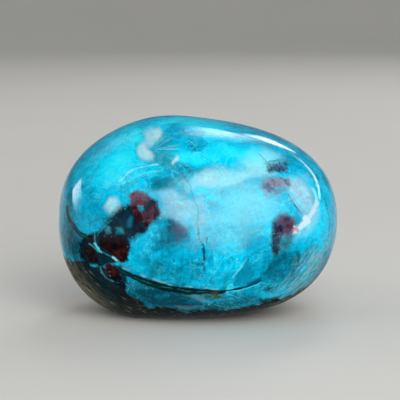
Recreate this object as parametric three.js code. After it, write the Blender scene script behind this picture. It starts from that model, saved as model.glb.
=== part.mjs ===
// A tumbled and polished chrysocolla pebble: one solid piece of stone.
// Millimetres, +Z up. The origin is on the resting face, under the middle of the stone.
// +X runs along the stone's length and -Y is its best-marked side.
import * as THREE from "three";
import { mergeVertices } from "three/addons/utils/BufferGeometryUtils.js";

// Half sizes of the plain rounded body, before the swells and flats are worn into it.
const HALF_LENGTH = 19.1;
const HALF_DEPTH = 15.2;
const HALF_HEIGHT = 13.5;
// 2 would be an ellipsoid. A little more squares the shoulders, as tumbling does.
const SQUARENESS = 2.35;
// How much of the belly is worn flat, measured up from its lowest point.
const REST_WEAR = 0.5;
// The icosahedron's edges are each cut into this many steps, plus one.
const EDGE_CUTS = 15;

// Broad places where the stone stands proud of the plain body (rise above 0) or is worn
// below it (rise under 0). Bearing is round +Z from +X, climb is above the horizon, and
// spread is how far the place reaches, all in degrees. Rise is in millimetres.
const WORN_PLACES = [
  { name: "left heel", bearing: 185, climb: -45, spread: 24, rise: 1.4 },
  { name: "left shoulder", bearing: 175, climb: 66, spread: 22, rise: 0.55 },
  { name: "right shoulder", bearing: 0, climb: 44, spread: 38, rise: -1.1 },
  { name: "right heel", bearing: 0, climb: -66, spread: 24, rise: -0.6 },
  { name: "right end", bearing: 0, climb: -18, spread: 20, rise: -0.4 },
  { name: "front face", bearing: -78, climb: 12, spread: 30, rise: -0.6 },
  { name: "back hollow", bearing: 108, climb: 14, spread: 30, rise: -0.9 },
  { name: "back swell", bearing: 142, climb: -18, spread: 24, rise: 0.5 },
];

// The unit vector with this bearing and climb.
function heading(bearing, climb) {
  const fromPole = THREE.MathUtils.degToRad(90 - climb);
  const round = THREE.MathUtils.degToRad(bearing);
  return new THREE.Vector3(
    Math.sin(fromPole) * Math.cos(round),
    Math.sin(fromPole) * Math.sin(round),
    Math.cos(fromPole),
  );
}

// The plain body's radius along a unit vector: a superellipsoid.
function plainRadius(along) {
  const sum =
    Math.pow(Math.abs(along.x) / HALF_LENGTH, SQUARENESS) +
    Math.pow(Math.abs(along.y) / HALF_DEPTH, SQUARENESS) +
    Math.pow(Math.abs(along.z) / HALF_HEIGHT, SQUARENESS);
  return Math.pow(sum, -1 / SQUARENESS);
}

// What one worn place adds to the radius: all of its rise at its middle, fading smoothly.
function wornBy(place, along) {
  const middle = heading(place.bearing, place.climb);
  const width = 1 - Math.cos(THREE.MathUtils.degToRad(place.spread));
  return place.rise * Math.exp((along.dot(middle) - 1) / width);
}

// An even ball of small triangles, each vertex pushed out to the surface of the stone.
function pebbleGeometry() {
  const ball = new THREE.IcosahedronGeometry(1, EDGE_CUTS);
  ball.deleteAttribute("normal");
  ball.deleteAttribute("uv");
  const pebble = mergeVertices(ball, 1e-5);
  const position = pebble.getAttribute("position");
  const restLevel = REST_WEAR - HALF_HEIGHT;
  const point = new THREE.Vector3();
  for (let i = 0; i < position.count; i += 1) {
    point.fromBufferAttribute(position, i).normalize();
    const worn = WORN_PLACES.reduce((sum, place) => sum + wornBy(place, point), 0);
    point.multiplyScalar(plainRadius(point) + worn);
    point.z = Math.max(point.z, restLevel);
    position.setXYZ(i, point.x, point.y, point.z);
  }
  return pebble;
}

// Moves the stone so that it rests on z = 0 with the middle of its length and depth at 0.
function restOnOrigin(geometry) {
  geometry.computeBoundingBox();
  const { min, max } = geometry.boundingBox;
  geometry.translate(-(min.x + max.x) / 2, -(min.y + max.y) / 2, -min.z);
  geometry.computeVertexNormals();
  return geometry;
}

const polishedStone = new THREE.MeshStandardMaterial({
  color: 0x14a9c4,
  roughness: 0.12,
  metalness: 0,
});

const stone = new THREE.Mesh(restOnOrigin(pebbleGeometry()), polishedStone);
stone.name = "chrysocolla_stone";

const specimen = new THREE.Group();
specimen.add(stone);

export default specimen;
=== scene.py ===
"""A tumbled and polished chrysocolla pebble, laid out as a small Blender add-on.

The stone is one piece of cyan chrysocolla with cuprite, quartz and dark matrix grown into it.
Sizes on the stone are in millimetres: +X along its length, -Y its best-marked side, +Z up.
"""

import math
from collections import namedtuple

import bmesh
import bpy
import numpy as np
from bpy.props import FloatProperty, FloatVectorProperty, IntProperty, PointerProperty
from mathutils import Color, Matrix, Vector, noise
from mathutils.bvhtree import BVHTree


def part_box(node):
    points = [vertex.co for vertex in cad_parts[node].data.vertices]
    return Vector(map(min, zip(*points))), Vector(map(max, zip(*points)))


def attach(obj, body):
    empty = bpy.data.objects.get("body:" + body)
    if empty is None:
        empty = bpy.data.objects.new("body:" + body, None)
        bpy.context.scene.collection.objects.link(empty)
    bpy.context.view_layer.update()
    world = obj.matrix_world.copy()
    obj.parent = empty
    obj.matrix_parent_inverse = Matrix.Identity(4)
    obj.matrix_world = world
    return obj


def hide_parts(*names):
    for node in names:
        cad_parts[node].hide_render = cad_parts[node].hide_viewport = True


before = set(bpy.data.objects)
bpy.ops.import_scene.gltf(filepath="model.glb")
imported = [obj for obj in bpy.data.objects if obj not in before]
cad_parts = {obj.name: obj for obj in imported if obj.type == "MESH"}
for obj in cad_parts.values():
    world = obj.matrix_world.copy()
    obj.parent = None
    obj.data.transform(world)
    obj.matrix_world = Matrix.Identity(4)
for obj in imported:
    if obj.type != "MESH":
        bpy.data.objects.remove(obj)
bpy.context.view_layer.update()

bl_info = {
    "name": "Polished Chrysocolla Pebble",
    "version": (1, 0, 0),
    "blender": (4, 5, 0),
    "location": "View3D > Sidebar > Pebble",
    "description": "Builds a polished chrysocolla pebble and the small studio it rests in",
    "category": "Object",
}

CAD_NODE = "chrysocolla_stone"
BODY = "root"
FINISH_SLOT = "polished_chrysocolla"
PIECE_NAME = "polished_stone"
MM = 0.001
# Seeds the noise that makes outlines crooked. At 0 it would be another noise in each run.
WANDER_SEED = 5

# Sizes and places in millimetres.
STONE_MIDDLE = np.array([0.0, 0.0, 13.4])
CAMERA_AIM = (0.3, 0.0, 15.26)
FILM_WIDTH = 36.0
BUMP_HEIGHT = 0.02
# How broad the swells of the skin are.
SWELL_SIZE = 6.0
# How much deeper into the stone a soft mark reaches than it does along the skin.
MARK_DEPTH = 1.5
# How far from its path a crack still counts.
PATH_REACH = 3.0
# A carried distance that is past the reach of every mark.
FAR_OUT = 9.0

# How deep the thin fissures are, as a share of the long one's depth.
THIN_GROOVE = 0.4
# How deep a strand is into the stone, against how thin it is on the skin.
STRAND_DEPTH = 1.7
REFRACTION = 1.47
GLOSS_TINT = (0.70, 0.96, 1.0, 1.0)
ROOM_TINT = (0.95, 0.98, 1.0, 1.0)

# The mirrored horizon lies a little under level, since the camera looks down on the stone.
# These are heights of a ray's direction: 0 is level and 1 is straight up.
HORIZON_LEVEL = -0.12
HORIZON_EDGE = 0.20
HORIZON_CORE = 0.08

# The nearest that the camera sees, in metres.
NEAREST_SEEN = 0.01


def shade(red, green, blue):
    """A colour in 0-255 screen values, as the linear light values that shaders use."""
    linear = []
    for channel in (red, green, blue):
        level = channel / 255
        linear.append(level / 12.92 if level <= 0.04045 else ((level + 0.055) / 1.055) ** 2.4)
    return tuple(linear)


def hue(name, description, red, green, blue):
    return FloatVectorProperty(
        name=name,
        description=description,
        subtype="COLOR",
        size=3,
        min=0.0,
        max=1.0,
        default=shade(red, green, blue),
    )


def amount(name, description, default, most):
    return FloatProperty(name=name, description=description, default=default, min=0.0, max=most)


class PebbleShape(bpy.types.PropertyGroup):
    """Sizes of the stone's skin."""

    rows: IntProperty(
        name="Rows",
        description="Rows of faces along each side of the cube that is drawn onto the stone",
        default=128,
        min=16,
        max=128,
    )
    melt: IntProperty(
        name="Melting passes",
        description="How many times each point is evened out with its neighbours, as polishing does",
        default=90,
        min=0,
        max=400,
    )
    swell: amount(
        "Swell", "Depth of the broad unevenness that hand polishing leaves, in millimetres",
        0.02, 0.4)
    groove: amount(
        "Fissure depth", "Depth of the grooves along the open fissures, in millimetres",
        0.16, 0.6)
    hollow: amount(
        "Inclusion depth", "How far the softer dark mineral is undercut, in millimetres",
        0.06, 0.3)


class PebblePalette(bpy.types.PropertyGroup):
    """Colours of the minerals."""

    abyss: hue("Abyss", "Deepest teal of the chrysocolla", 0, 74, 96)
    deep: hue("Deep blue", "Clear deep chrysocolla", 0, 132, 174)
    teal: hue("Teal", "Dark chrysocolla", 0, 130, 158)
    cyan: hue("Cyan", "Chrysocolla's main colour", 0, 172, 213)
    bright: hue("Bright cyan", "Freshest chrysocolla", 2, 213, 248)
    fresh: hue("Fresh", "Brightest chrysocolla", 34, 234, 254)
    sky: hue("Sky", "Pale chrysocolla", 96, 230, 242)
    # Milk also colours painted reflection in the low cloud, and painted highlight beside the hook on the
    # right.
    milk: hue("Milk", "Milky chalcedony cloud", 152, 227, 238)
    lilac: hue("Lilac", "Violet-white cloud round the cuprite", 160, 188, 212)
    frost: hue("Frost", "Grey-blue strands", 134, 196, 202)
    ink: hue("Ink", "Tenorite, nearly black", 5, 4, 8)
    pitch: hue("Pitch", "Black-green crust in the fissures", 0, 24, 26)
    wine: hue("Wine", "Dark cuprite", 40, 6, 10)
    rust: hue("Rust", "Red-brown cuprite", 66, 30, 12)
    maroon: hue("Maroon", "Wine-red cuprite", 92, 30, 46)
    rose: hue("Rose", "Cuprite seen through a milky skin", 118, 92, 106)
    umber: hue("Umber", "Dull brown cuprite", 40, 26, 20)
    plum: hue("Plum", "Cuprite deep under the blue", 74, 62, 104)
    navy: hue("Navy", "Tenorite deep under the blue", 4, 30, 54)
    # Soot, bark, slate and sand also colour the painted contact shade along the front of the belly, and
    # bark with ink the patch of it at the foot.
    soot: hue("Soot", "Darkest matrix", 6, 8, 7)
    bark: hue("Bark", "Dark matrix", 17, 16, 9)
    slate: hue("Slate", "Grey strands in the matrix", 40, 38, 27)
    sand: hue("Sand", "Pale matrix", 158, 150, 122)
    moss: hue("Moss", "Malachite in the fissures", 8, 56, 46)
    olive: hue("Olive", "Iron-stained malachite", 62, 68, 20)
    # Quartz also colours the painted reflection patch on the left flank and the painted highlight of the
    # hook.
    quartz: hue("Quartz", "Quartz splinters", 200, 222, 232)
    sage: hue("Sage", "Fibrous grey-green zone", 56, 150, 166)
    reed: hue("Reed", "Shadow between the fibres", 10, 128, 150)
    blush: hue("Blush", "Small salmon spot", 222, 140, 130)


class PebbleStudio(bpy.types.PropertyGroup):
    """The camera, the floor and the lights."""

    lens: FloatProperty(
        name="Lens",
        description="Focal length of the camera",
        default=165.5,
        min=35.0,
        max=300.0,
        subtype="DISTANCE_CAMERA",
    )
    reach: FloatProperty(
        name="Camera distance",
        description="From the camera to the point it looks at",
        default=0.25,
        min=0.1,
        max=2.0,
        unit="LENGTH",
    )
    climb: FloatProperty(
        name="Camera climb",
        description="How far above the horizon the camera stands",
        default=math.radians(8.0),
        subtype="ANGLE",
    )
    floor: hue("Floor", "Plain pale floor", 212, 210, 205)
    mirrored: amount(
        "Mirrored room light", "Brightness of the rest of the room, as the polish mirrors it",
        0.10, 2.0)
    horizon: amount(
        "Mirrored horizon", "Brightness of the room's horizon, as the polish mirrors it",
        0.50, 2.0)
    glow: amount("Glow", "Brightness of the room round the stone", 0.28, 4.0)


# ----------------------------------------------------------------------------------------
# Arithmetic on node trees, for the stone, the floor, the softboxes and the room.
# ----------------------------------------------------------------------------------------


class Field:
    """A number or a colour at every point of the stone, worked out by nodes."""

    def __init__(self, graph, socket):
        self.graph = graph
        self.socket = socket

    def __add__(self, other):
        return self.graph.number("ADD", self, other)

    def __radd__(self, other):
        return self.graph.number("ADD", other, self)

    def __sub__(self, other):
        return self.graph.number("SUBTRACT", self, other)

    def __rsub__(self, other):
        return self.graph.number("SUBTRACT", other, self)

    def __mul__(self, other):
        return self.graph.number("MULTIPLY", self, other)

    def __rmul__(self, other):
        return self.graph.number("MULTIPLY", other, self)


def socket_kind(value):
    """The kind of socket a value goes through."""
    if isinstance(value, Color) or (isinstance(value, Field) and value.socket.type == "RGBA"):
        return "NodeSocketColor"
    return "NodeSocketFloat"


def spelled(item):
    """A name and its value as text, where a field is known by the socket it comes from."""
    name, value = item
    if isinstance(value, Field):
        value = f"{value.socket.node.name} {value.socket.identifier}"
    return f"{name} = {value}"


class Graph:
    """A node tree that fields are written into."""

    def __init__(self, tree):
        self.nodes = tree.nodes
        self.links = tree.links
        self.marks = 0
        self.made = {}

    def nudge(self):
        """A tiny number that is different each time.

        Cycles merges sums that are alike and holds them until their last use, which would fill
        its small stack. A nudge keeps the sums of one mark apart from those of the next.
        """
        self.marks += 1
        return 0.0002 * self.marks

    def feed(self, socket, value):
        if isinstance(value, Field):
            self.links.new(value.socket, socket)
        elif socket.type == "RGBA":
            socket.default_value = (*value[:3], 1.0)
        else:
            socket.default_value = value

    def node(self, kind, inputs, **settings):
        """A node with these inputs and settings: the one made before, if there is one."""
        key = (kind, *(spelled(item) for item in (*settings.items(), *inputs.items())))
        if key in self.made:
            return self.made[key]
        node = self.nodes.new(kind)
        for name, value in settings.items():
            setattr(node, name, value)
        for name, value in inputs.items():
            self.feed(node.inputs[name], value)
        self.made[key] = node
        return node

    def shared(self, name, build, **inputs):
        """What build works out from the inputs, in a node group made once and then reused."""
        tree = bpy.data.node_groups.get(name)
        if tree is None:
            tree = bpy.data.node_groups.new(name, "ShaderNodeTree")
            for key, value in inputs.items():
                tree.interface.new_socket(key, in_out="INPUT", socket_type=socket_kind(value))
            inner = Graph(tree)
            start = tree.nodes.new("NodeGroupInput")
            given = {key: Field(inner, start.outputs[key]) for key in inputs}
            found = build(inner, **given)
            tree.interface.new_socket("found", in_out="OUTPUT", socket_type=socket_kind(found))
            inner.node("NodeGroupOutput", {"found": found})
        node = self.node("ShaderNodeGroup", inputs, node_tree=tree)
        return Field(self, node.outputs["found"])

    def number(self, operation, first, second=0.0):
        node = self.node("ShaderNodeMath", {0: first, 1: second}, operation=operation)
        return Field(self, node.outputs[0])

    def parts(self, field):
        """The red, green and blue of a colour."""
        node = self.node("ShaderNodeSeparateColor", {0: field})
        return tuple(Field(self, output) for output in node.outputs)

    def step(self, value, start, end, low=0.0, high=1.0):
        """Low where value is at start, high where it is at end, and smooth in between."""
        node = self.node(
            "ShaderNodeMapRange",
            {"Value": value, "From Min": start, "From Max": end, "To Min": low, "To Max": high},
            interpolation_type="SMOOTHSTEP",
        )
        return Field(self, node.outputs[0])

    def most(self, first, second):
        return self.number("MAXIMUM", first, second)

    def far(self, value):
        return self.number("ABSOLUTE", value)

    def place(self, kind):
        """Where each point is, or where the ray goes, in one of the ways that Blender tells it."""
        return Field(self, self.node("ShaderNodeTexCoord", {}).outputs[kind])

    def carried(self, name):
        """A number that the mesh carries at its points."""
        node = self.node("ShaderNodeAttribute", {}, attribute_name=name)
        return Field(self, node.outputs["Fac"])

    def noise(self, at, size, detail=2.0, rough=0.5, twist=0.0):
        """Cloudy noise round 0.5, whose blobs are about size millimetres across."""
        inputs = {"Vector": at, "Scale": 1 / (size * MM), "Detail": detail, "Roughness": rough}
        inputs["Distortion"] = twist
        node = self.node("ShaderNodeTexNoise", inputs)
        return Field(self, node.outputs[0])

    def ripple(self, value, detail=2.0, rough=0.5):
        """Noise along a line: round 0.5, and changing about once for each step of 1."""
        inputs = {"W": value, "Scale": 1.0, "Detail": detail, "Roughness": rough}
        node = self.node("ShaderNodeTexNoise", inputs, noise_dimensions="1D")
        return Field(self, node.outputs[0])

    def cells(self, at, size, feature="F1"):
        """Voronoi cells about size millimetres across: their distance and their own colours."""
        inputs = {"Vector": at, "Scale": 1 / (size * MM)}
        node = self.node("ShaderNodeTexVoronoi", inputs, feature=feature)
        distance = Field(self, node.outputs["Distance"])
        if feature == "DISTANCE_TO_EDGE":
            return distance
        return distance, Field(self, node.outputs["Color"])

    def strands(self, at, tilt, long, thin):
        """Noise drawn out into strands that climb to the right by tilt degrees."""
        turn = (0.0, math.radians(-tilt), 0.0)
        inputs = {"Vector": at, "Rotation": turn, "Scale": (long, thin * STRAND_DEPTH, thin)}
        local = self.node("ShaderNodeMapping", inputs, vector_type="TEXTURE")
        return self.noise(Field(self, local.outputs[0]), 1.0, 3.0, 0.6, 0.5)

    def mix(self, share, under, over):
        node = self.node("ShaderNodeMix", {0: share, 6: under, 7: over}, data_type="RGBA")
        return Field(self, node.outputs[2])

    def ramp(self, value, stops):
        node = self.nodes.new("ShaderNodeValToRGB")
        self.feed(node.inputs[0], value)
        elements = node.color_ramp.elements
        while len(elements) < len(stops):
            elements.new(1.0)
        for element, (place, colour) in zip(elements, stops):
            element.position = place
            element.color = (*colour[:3], 1.0)
        return Field(self, node.outputs[0])


# ----------------------------------------------------------------------------------------
# The body of the stone.
# ----------------------------------------------------------------------------------------


def cube_grid(rows):
    """The points and faces of a cube's surface grid, its points drawn out onto a unit sphere."""
    mesh = bmesh.new()
    bmesh.ops.create_cube(mesh, size=2.0)
    bmesh.ops.subdivide_edges(mesh, edges=mesh.edges[:], cuts=rows - 1, use_grid_fill=True)
    points = np.array([v.co[:] for v in mesh.verts])
    faces = np.array([[v.index for v in f.verts] for f in mesh.faces])
    mesh.free()
    # Equal steps of angle rather than of length keep the faces near one size.
    points = np.tan(points * math.pi / 4)
    return points / np.linalg.norm(points, axis=1)[:, None], faces


def reach_in(solid, middle, directions):
    """How far it is from the middle to the solid's surface in each direction."""
    tree = BVHTree.FromObject(solid, bpy.context.evaluated_depsgraph_get())
    reach = np.empty(len(directions))
    for index, direction in enumerate(directions):
        found = tree.ray_cast(middle, Vector(direction))
        if found[0] is None:
            raise RuntimeError("the solid has a gap in it")
        reach[index] = found[3]
    return reach


def melted(values, faces, passes):
    """Values evened out with their neighbours' along the grid, over and over."""
    edges = np.concatenate([faces[:, [i, (i + 1) % 4]] for i in range(4)])
    count = np.bincount(edges[:, 0], minlength=len(values))
    for _ in range(passes):
        beside = np.bincount(edges[:, 0], weights=values[edges[:, 1]], minlength=len(values))
        values = 0.5 * values + 0.5 * beside / count
    return values


def smooth_mesh(name, points, faces):
    mesh = bpy.data.meshes.new(name)
    mesh.from_pydata(points, [], faces)
    mesh.polygons.foreach_set("use_smooth", [True] * len(faces))
    mesh.validate()
    mesh.update()
    return mesh


def stone_mesh(shape):
    """The solid's own shape with its flat facets melted into one polished skin."""
    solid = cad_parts[CAD_NODE]
    low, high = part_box(CAD_NODE)
    middle = (low + high) / 2
    directions, faces = cube_grid(shape.rows)
    reach = melted(reach_in(solid, middle, directions), faces, shape.melt)
    points = np.array(middle) + directions * reach[:, None]
    points = np.clip(points, np.array(low), np.array(high))
    return smooth_mesh(PIECE_NAME, points.tolist(), faces.tolist())


class Skin:
    """Finds places on the stone's surface, in millimetres."""

    def __init__(self, piece):
        self.tree = BVHTree.FromObject(piece, bpy.context.evaluated_depsgraph_get())
        low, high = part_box(CAD_NODE)
        self.outside = (high - low).length

    def find(self, x, z, side="front"):
        """The place at this x and z on the side that faces -Y, or on the back."""
        way = 1 if side == "front" else -1
        start = Vector((x * MM, -way * self.outside, z * MM))
        place = self.tree.ray_cast(start, Vector((0, way, 0)))[0]
        if place is None:
            raise RuntimeError(f"a mark at x {x}, z {z} misses the stone")
        return place / MM

    def trace(self, points, side="front"):
        return [self.find(x, z, side) for x, z in points]


# ----------------------------------------------------------------------------------------
# The marks in the stone, placed by their x and z in millimetres. They are on the side that
# faces -Y, except the lines whose side is the back.
# ----------------------------------------------------------------------------------------

# Patches where the chrysocolla is lighter (lift above 0) or deeper (under 0). Some are partly
# painted light and shade: the upper left is lighter, and the belly and the patches below the
# fissure darker towards the bottom. Wide and high are half sizes, and tilt is anticlockwise in
# degrees.
Tone = namedtuple("Tone", "name x z wide high tilt lift")

TONES = [
    # The next two are partly painted light, lighter where the light falls on the upper left.
    Tone("upper left glow", -9.8, 22.2, 5.5, 2.6, 34, 0.42),
    Tone("top left edge", -8.0, 25.0, 4.6, 1.3, 14, 0.30),
    Tone("left flank", -12.6, 18.0, 4.4, 4.6, 10, 0.02),
    Tone("left edge", -17.2, 16.0, 1.4, 6.0, 0, -0.26),
    Tone("left low", -16.4, 10.6, 3.0, 3.4, 0, -0.44),
    Tone("middle left", -7.0, 20.0, 3.0, 1.6, 0, 0.06),
    Tone("under the splinters", -4.6, 19.5, 2.8, 1.4, 0, -0.34),
    Tone("top streak", -1.2, 22.6, 4.4, 0.9, -10, 0.42),
    Tone("top right band", 5.6, 22.4, 6.0, 1.4, -12, 0.36),
    Tone("right end", 16.8, 14.5, 2.4, 5.0, 0, 0.12),
    Tone("left of the cloud", -3.4, 12.4, 2.2, 2.6, -10, -0.20),
    Tone("left of the dotted vein", -5.4, 8.6, 1.6, 1.5, 0, -0.14),
    Tone("low middle", 0.0, 8.6, 7.5, 2.4, -4, -0.10),
    Tone("middle", 3.0, 15.0, 7.0, 4.0, 0, 0.04),
    Tone("deep blue by the crack", 11.3, 16.0, 1.7, 1.8, 0, -0.04),
    Tone("right low", 14.5, 11.8, 3.0, 2.0, 20, 0.10),
    Tone("lower right", 11.4, 8.2, 4.2, 3.0, 38, -0.34),
    # The next two and the belly are partly painted shade, darker towards the bottom.
    Tone("below the fissure", -4.6, 4.2, 7.0, 2.2, -10, -0.36),
    Tone("below the fissure's end", 5.5, 3.6, 3.8, 1.4, 4, -0.26),
    Tone("top rim", 0.0, 26.2, 7.0, 1.0, -6, 0.26),
    Tone("belly", 0.0, 1.6, 14.0, 2.6, 0, -0.20),
]

# Soft marks under the polish: milky clouds and deep stains, among them some painted reflection
# and highlight. Dark and light are the colours that their grain mixes, and cover is how much of
# the blue they hide.
Veil = namedtuple("Veil", "name x z wide high tilt dark light cover")

VEILS = [
    Veil("pale band", 3.6, 20.1, 5.8, 1.2, 5, "milk", "milk", 0.72),
    Veil("pale knot", 8.0, 21.1, 3.0, 1.5, 16, "milk", "milk", 0.75),
    Veil("band's lilac end", 1.0, 20.0, 1.4, 1.1, 0, "lilac", "milk", 0.55),
    Veil("middle cloud", 6.4, 16.4, 4.8, 3.0, -6, "milk", "milk", 0.32),
    # This cloud is partly milky chalcedony and partly painted reflection: it draws the milky reflection
    # of the front light further down than the polish mirrors that light.
    Veil("low cloud", 3.6, 13.6, 5.4, 2.4, 4, "milk", "milk", 0.30),
    Veil("lilac cloud", -1.8, 16.0, 3.2, 1.9, -22, "lilac", "milk", 0.62),
    Veil("lilac streak", -3.0, 17.6, 3.4, 0.6, -12, "milk", "milk", 0.30),
    Veil("lilac tail", 0.2, 15.4, 0.9, 3.4, 0, "lilac", "milk", 0.40),
    Veil("right cloud", 13.7, 17.6, 1.7, 2.6, 12, "lilac", "milk", 0.88),
    Veil("dots' cloud", 11.8, 19.0, 1.2, 1.3, 0, "milk", "milk", 0.50),
    # This patch is painted reflection: the end of a bright reflection set into the colour, not a mark in
    # the stone.
    Veil("white patch", -11.0, 16.0, 1.2, 0.75, 50, "quartz", "milk", 0.90),
    # This cloud is partly milky and partly the painted highlight of the hook beside it.
    Veil("vein's cloud", 14.6, 13.7, 2.4, 0.8, 42, "milk", "milk", 0.45),
    Veil("low strands", 0.0, 4.1, 2.0, 0.40, -14, "frost", "milk", 0.42),
    Veil("belly streak", -1.6, 2.7, 1.6, 0.26, 4, "frost", "milk", 0.28),
    Veil("teal stain", -3.9, 11.9, 1.5, 1.4, 0, "abyss", "teal", 0.55),
    Veil("window side", -8.4, 19.0, 1.0, 0.4, 30, "abyss", "teal", 0.30),
    Veil("navy stain", -3.9, 14.1, 0.9, 0.7, 60, "navy", "teal", 0.95),
    Veil("plum stain", -2.4, 13.1, 1.7, 0.9, -48, "plum", "navy", 0.66),
    Veil("plum foot", -1.9, 12.8, 0.8, 0.5, 30, "plum", "navy", 0.50),
    Veil("upper right plum", 10.1, 19.2, 1.5, 1.0, 10, "plum", "lilac", 0.70),
    Veil("upper right rose", 10.4, 19.5, 1.3, 0.9, 0, "rose", "lilac", 0.66),
    Veil("upper right shade", 10.0, 19.3, 1.6, 1.4, 0, "plum", "rose", 0.70),
]

# Angular pieces of other minerals, and one patch of painted contact shade, whose corners go round
# a convex outline. Soft is how far their edge is spread, and wild how far it strays. The rest is as
# for veils.
Shard = namedtuple("Shard", "name corners soft wild dark light cover")

BLOCKS = [
    Shard("navy neck", [(-12.7, 12.6), (-11.7, 14.4), (-10.4, 15.9), (-8.8, 16.8), (-7.5, 16.4),
        (-6.5, 14.4), (-6.7, 13.1), (-8.7, 11.8), (-11.1, 12.0)], 0.50, 0.6, "navy", "ink", 0.97),
    Shard("cluster bed", [(-15.5, 8.8), (-15.5, 10.9), (-14.6, 12.2), (-12.7, 12.8), (-9.3, 13.1),
        (-8.7, 11.4), (-8.9, 9.2), (-11.4, 8.3), (-14.3, 8.1)], 0.25, 0.6, "ink", "navy", 0.97),
    Shard("low column", [(-12.3, 8.5), (-9.8, 8.6), (-9.3, 7.2), (-9.4, 5.3), (-10.1, 5.5), (-11.7, 6.6)],
        0.25, 0.6, "ink", "navy", 0.94),
    Shard("neck's dark spine", [(-8.6, 16.2), (-7.9, 16.4), (-6.8, 13.6), (-8.2, 12.8), (-9.0, 13.6)],
        0.45, 0.7, "ink", "navy", 0.85),
    Shard("maroon block", [(-8.8, 17.7), (-7.8, 18.2), (-6.6, 17.8), (-5.4, 17.1), (-4.8, 15.9),
        (-5.0, 14.9), (-5.9, 14.2), (-6.7, 13.6), (-7.8, 14.4), (-8.5, 16.2)],
        0.34, 0.7, "wine", "maroon", 0.95),
    Shard("rose crown", [(-8.9, 17.8), (-7.8, 18.3), (-6.6, 18.0), (-6.5, 17.1), (-7.4, 16.7),
        (-8.5, 16.7)], 0.50, 0.9, "rose", "maroon", 0.78),
    Shard("maroon block's foot", [(-8.1, 14.6), (-6.6, 14.5), (-6.5, 13.7), (-7.1, 12.9), (-8.1, 13.1)],
        0.35, 0.6, "ink", "navy", 0.95),
    Shard("main block", [(-12.6, 12.1), (-11.5, 12.4), (-10.4, 12.4), (-9.4, 12.2), (-8.8, 10.8),
        (-8.8, 10.0), (-9.4, 9.1), (-10.0, 9.1), (-12.0, 10.6), (-12.7, 11.2)],
        0.14, 0.5, "ink", "wine", 1.0),
    Shard("main block's rust", [(-10.7, 10.4), (-9.1, 10.7), (-8.9, 10.0), (-9.4, 9.3), (-10.4, 9.6)],
        0.35, 0.5, "wine", "rust", 0.85),
    Shard("left block", [(-14.8, 10.4), (-13.5, 10.6), (-12.8, 9.7), (-13.0, 8.6), (-14.3, 8.4),
        (-14.8, 9.3)], 0.14, 0.45, "ink", "umber", 0.98),
    Shard("small left block", [(-14.3, 12.2), (-13.4, 12.3), (-13.4, 11.2), (-14.3, 11.1)],
        0.12, 0.3, "ink", "wine", 1.0),
    Shard("low block", [(-12.0, 8.3), (-11.4, 8.7), (-10.4, 8.3), (-10.1, 7.5), (-10.6, 6.8),
        (-11.7, 6.9)], 0.12, 0.4, "wine", "rust", 0.92),
    Shard("right maroon", [(9.9, 14.4), (10.6, 15.3), (11.8, 15.4), (12.7, 14.6), (13.0, 13.2),
        (12.2, 12.4), (10.5, 12.1)], 0.60, 0.3, "plum", "maroon", 0.94),
    Shard("right black spot", [(11.0, 14.9), (12.0, 15.0), (12.1, 14.2), (11.1, 14.1)],
        0.35, 0.4, "ink", "plum", 0.70),
    Shard("right red spot", [(11.4, 13.9), (12.4, 13.9), (12.3, 13.1), (11.4, 13.2)],
        0.30, 0.4, "wine", "maroon", 0.80),
    Shard("right tail", [(9.8, 14.2), (11.2, 14.0), (11.0, 12.2), (10.5, 10.2), (10.1, 9.7),
        (9.6, 10.4), (9.4, 12.4)], 0.35, 0.35, "ink", "plum", 0.92),
    Shard("right olive", [(10.6, 12.3), (12.3, 12.4), (12.2, 11.2), (11.2, 10.4), (10.5, 10.9)],
        0.60, 0.7, "olive", "moss", 0.70),
    Shard("salmon spot", [(12.2, 13.1), (12.8, 13.2), (12.9, 12.7), (12.3, 12.5)],
        0.20, 0.3, "blush", "quartz", 0.9),
    Shard("upper right dots", [(8.8, 21.5), (11.8, 21.3), (11.9, 20.4), (10.4, 20.1), (9.2, 20.6)],
        0.50, 1.4, "navy", "plum", 0.92),
    Shard("blue facet", [(6.3, 9.2), (4.8, 7.0), (4.7, 5.7), (6.6, 5.9), (7.7, 6.6), (7.2, 8.1)],
        0.14, 0.3, "deep", "teal", 0.70),
    Shard("light wedge", [(3.4, 5.2), (4.4, 6.4), (5.0, 5.3)], 0.10, 0.2, "sky", "bright", 0.8),
    # This patch is painted contact shade at the front of the belly, where the stone meets the floor, not
    # a piece of matrix.
    Shard("dark foot", [(7.9, 3.9), (11.0, 3.7), (10.8, 2.9), (8.0, 2.8)],
        0.30, 0.7, "bark", "ink", 0.85),
    Shard("green spots", [(8.7, 5.9), (9.8, 5.5), (9.7, 4.8), (8.6, 5.0)],
        0.20, 0.9, "moss", "abyss", 0.8),
]

WINDOWS = [
    Shard("window", [(-7.5, 16.5), (-6.9, 16.5), (-6.7, 16.0), (-7.0, 15.7), (-7.5, 15.9)],
        0.18, 0.4, "teal", "sage", 0.92),
    Shard("left window", [(-12.0, 13.6), (-11.3, 13.6), (-11.3, 12.9), (-11.9, 12.6)],
        0.24, 0.6, "sage", "sky", 0.70),
    Shard("right window", [(-10.6, 13.6), (-9.6, 13.6), (-9.4, 12.9), (-10.4, 12.7)],
        0.28, 0.7, "teal", "sage", 0.70),
    Shard("streak window", [(-8.8, 15.1), (-8.3, 15.1), (-8.5, 13.7), (-9.1, 13.6)],
        0.25, 0.3, "deep", "teal", 0.50),
]

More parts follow.
